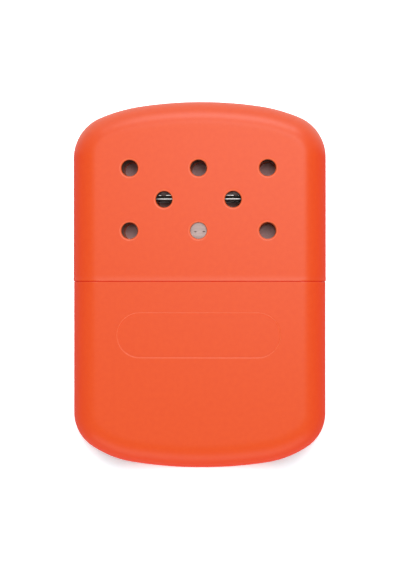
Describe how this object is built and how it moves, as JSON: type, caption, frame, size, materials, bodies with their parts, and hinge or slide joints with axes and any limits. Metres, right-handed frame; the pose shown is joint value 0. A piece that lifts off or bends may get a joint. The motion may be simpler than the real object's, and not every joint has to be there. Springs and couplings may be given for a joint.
{
  "type": "catalytic hand warmer",
  "caption": "Flat pocket hand warmer with rounded ends: a fuel tank packed with wadding, a catalytic burner on its filler neck, and a vented lid that slides over the tank's collar.",
  "frame": {"origin": "centre of the back face's plane, half way along the closed length and half way across the width", "axes": "+X across the width, +Y along the length towards the lid's closed end, +Z through the thickness towards the front face"},
  "size_m": [0.0682, 0.0988, 0.013],
  "materials": {
    "paint": "satin orange powder coat",
    "tinned_steel": "bright tinned sheet",
    "burner_steel": "satin stamped sheet",
    "spring_steel": "bright strip",
    "wire_screen": "woven wire",
    "felt": "pressed felt",
    "cotton": "loose cotton",
    "glass_wool": "glass fibre",
    "catalyst": "dark platinised fibre mat"
  },
  "bodies": {
    "tank": {"tank_shell": "paint", "tank_top": "tinned_steel", "filler_neck": "burner_steel", "wick_felt": "felt", "upper_wadding": "cotton", "middle_wadding": "cotton", "lower_wadding": "cotton"},
    "burner": {"burner_base": "burner_steel", "grip_springs": "spring_steel", "burner_throat": "burner_steel", "throat_rivets": "tinned_steel", "burner_tray": "burner_steel", "front_bar": "spring_steel", "back_bar": "spring_steel", "tray_screen": "wire_screen", "catalyst_wool": "glass_wool", "catalyst_mat": "catalyst", "burner_cover": "burner_steel", "cover_screen": "wire_screen"},
    "lid": {"lid_shell": "paint"}
  },
  "joints": [
    {"name": "lid_slide", "type": "slide", "parent": "tank", "child": "lid", "axis": [0, 1, 0], "range_m": [0, 0.04]},
    {"name": "burner_slide", "type": "slide", "parent": "tank", "child": "burner", "axis": [0, 1, 0], "range_m": [0, 0.01]}
  ]
}
